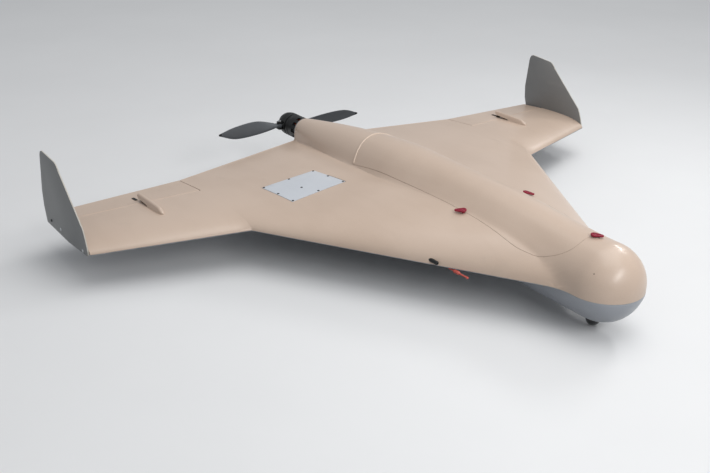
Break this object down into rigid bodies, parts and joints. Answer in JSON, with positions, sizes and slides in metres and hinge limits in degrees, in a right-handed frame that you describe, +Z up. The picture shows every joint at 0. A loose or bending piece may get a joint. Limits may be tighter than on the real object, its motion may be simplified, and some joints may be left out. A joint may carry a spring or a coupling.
{
  "type": "fixed wing drone",
  "caption": "Small unmanned aircraft with a blended delta body, upright tip fins, elevons with covered linkages, a lift-off hatch and a folding pusher propeller.",
  "frame": {"origin": "floor point below the centre of the outline, with the camera dome and the belly shoe standing on the floor side", "axes": "+X towards the port wing tip, -Y towards the nose, +Z up"},
  "size_m": [1.2156, 0.9872, 0.198],
  "materials": {
    "battery_wrap": "blue shrink wrap over pouch cells",
    "black_anodised": "black anodised",
    "black_plastic": "black, satin",
    "blade_grey": "dark grey, slightly rough",
    "carbon_laminate": "woven black laminate",
    "circuit_board": "green board in a frame",
    "copper_wire": "enamelled copper wire",
    "crimson_plastic": "glossy crimson",
    "grey_plastic": "mid grey, fine matt",
    "pale_blue_paint": "satin pale blue-grey paint",
    "plywood": "bare thin plywood",
    "red_plastic": "red, satin",
    "sand_paint": "satin sand paint over a moulded shell",
    "shoe_plastic": "black, matt",
    "smoked_dome": "smoked, polished",
    "steel": "bright steel",
    "strap_web": "woven black webbing",
    "white_panel": "cool white, satin"
  },
  "bodies": {
    "propeller": {"motor_bell": "black_anodised", "motor_shaft": "steel", "prop_spinner": "black_plastic", "prop_yoke": "grey_plastic", "blade_bolt_starboard": "steel", "blade_bolt_port": "steel"},
    "blade_starboard": {"prop_blade_starboard": "blade_grey"},
    "elevon_starboard": {"elevon_starboard": "sand_paint", "control_horn_starboard": "grey_plastic"},
    "servo_arm_starboard": {"servo_arm_starboard": "grey_plastic"},
    "pushrod_starboard": {"pushrod_starboard": "steel"},
    "blade_port": {"prop_blade_port": "blade_grey"},
    "elevon_port": {"elevon_port": "sand_paint", "control_horn_port": "grey_plastic"},
    "servo_arm_port": {"servo_arm_port": "grey_plastic"},
    "pushrod_port": {"pushrod_port": "steel"},
    "hatch": {"hatch_cover": "sand_paint"},
    "latch_front": {"latch_front": "crimson_plastic"},
    "latch_starboard": {"latch_starboard": "crimson_plastic"},
    "latch_port": {"latch_port": "crimson_plastic"},
    "pull_pin": {"power_pull_pin": "red_plastic"},
    "airframe": {"upper_skin": "sand_paint", "lower_skin": "pale_blue_paint", "access_panel": "white_panel", "hatch_frame": "carbon_laminate", "panel_frame": "carbon_laminate", "hinge_rod_starboard": "steel", "servo_starboard": "black_plastic", "linkage_fairing_starboard": "sand_paint", "tip_fin_starboard": "grey_plastic", "wing_spar_starboard": "carbon_laminate", "root_rib_starboard": "plywood", "kink_rib_starboard": "plywood", "hinge_rod_port": "steel", "servo_port": "black_plastic", "linkage_fairing_port": "sand_paint", "tip_fin_port": "grey_plastic", "wing_spar_port": "carbon_laminate", "root_rib_port": "plywood", "kink_rib_port": "plywood", "nose_former": "plywood", "bay_former": "plywood", "spar_block": "carbon_laminate", "motor_bulkhead": "plywood", "equipment_tray": "plywood", "tail_tray": "plywood", "camera_shelf": "plywood", "battery_pack": "battery_wrap", "flight_controller": "circuit_board", "radio_receiver": "black_plastic", "speed_controller": "black_plastic", "battery_strap": "strap_web", "gnss_antenna": "black_plastic", "camera_dome": "smoked_dome", "camera_module": "black_plastic", "belly_shoe": "shoe_plastic", "pitot_probe": "black_plastic", "tail_collar": "grey_plastic", "motor_stator": "black_anodised", "motor_windings": "copper_wire"}
  },
  "joints": [
    {"name": "propeller_spin", "type": "hinge", "parent": "airframe", "child": "propeller", "pos_m": [0, 0.46513, 0.1005], "axis": [0, 1, 0], "continuous": true},
    {"name": "blade_fold_starboard", "type": "hinge", "parent": "propeller", "child": "blade_starboard", "pos_m": [-0.02797, 0.46513, 0.10172], "axis": [-0.0436, 0, -0.999], "range_deg": [0, 80]},
    {"name": "elevon_hinge_starboard", "type": "hinge", "parent": "airframe", "child": "elevon_starboard", "pos_m": [-0.44988, 0.26895, 0.07894], "axis": [0.9882, -0.1477, 0.0414], "range_deg": [-25, 25]},
    {"name": "servo_turn_starboard", "type": "hinge", "parent": "airframe", "child": "servo_arm_starboard", "pos_m": [-0.44988, 0.20813, 0.07791], "axis": [1, 0, 0], "range_deg": [-25, 25]},
    {"name": "pushrod_link_starboard", "type": "hinge", "parent": "servo_arm_starboard", "child": "pushrod_starboard", "pos_m": [-0.44988, 0.20813, 0.09241], "axis": [1, 0, 0], "range_deg": [-25, 25]},
    {"name": "blade_fold_port", "type": "hinge", "parent": "propeller", "child": "blade_port", "pos_m": [0.02797, 0.46513, 0.09928], "axis": [0.0436, 0, 0.999], "range_deg": [0, 80]},
    {"name": "elevon_hinge_port", "type": "hinge", "parent": "airframe", "child": "elevon_port", "pos_m": [0.44988, 0.26895, 0.07894], "axis": [0.9882, 0.1477, -0.0414], "range_deg": [-25, 25]},
    {"name": "servo_turn_port", "type": "hinge", "parent": "airframe", "child": "servo_arm_port", "pos_m": [0.44988, 0.20813, 0.07791], "axis": [1, 0, 0], "range_deg": [-25, 25]},
    {"name": "pushrod_link_port", "type": "hinge", "parent": "servo_arm_port", "child": "pushrod_port", "pos_m": [0.44988, 0.20813, 0.09241], "axis": [1, 0, 0], "range_deg": [-25, 25]},
    {"name": "hatch_lift", "type": "slide", "parent": "airframe", "child": "hatch", "axis": [0, 0, 1], "range_m": [0, 0.25]},
    {"name": "latch_turn_front", "type": "hinge", "parent": "hatch", "child": "latch_front", "pos_m": [0, -0.39837, 0.14942], "axis": [0, -0.0289, 0.9996], "range_deg": [0, 90]},
    {"name": "latch_turn_starboard", "type": "hinge", "parent": "hatch", "child": "latch_starboard", "pos_m": [-0.0745, -0.17787, 0.13121], "axis": [-0.2038, -0.0228, 0.9787], "range_deg": [-90, 0]},
    {"name": "latch_turn_port", "type": "hinge", "parent": "hatch", "child": "latch_port", "pos_m": [0.0745, -0.17787, 0.13121], "axis": [0.2038, -0.0228, 0.9787], "range_deg": [0, 90]},
    {"name": "pin_pull", "type": "slide", "parent": "airframe", "child": "pull_pin", "axis": [0, -1, 0], "range_m": [0, 0.06]}
  ],
  "couplings": [
    {"joint": "servo_turn_starboard", "follows": "elevon_hinge_starboard", "ratio": 1},
    {"joint": "pushrod_link_starboard", "follows": "elevon_hinge_starboard", "ratio": -1},
    {"joint": "servo_turn_port", "follows": "elevon_hinge_port", "ratio": 1},
    {"joint": "pushrod_link_port", "follows": "elevon_hinge_port", "ratio": -1}
  ]
}
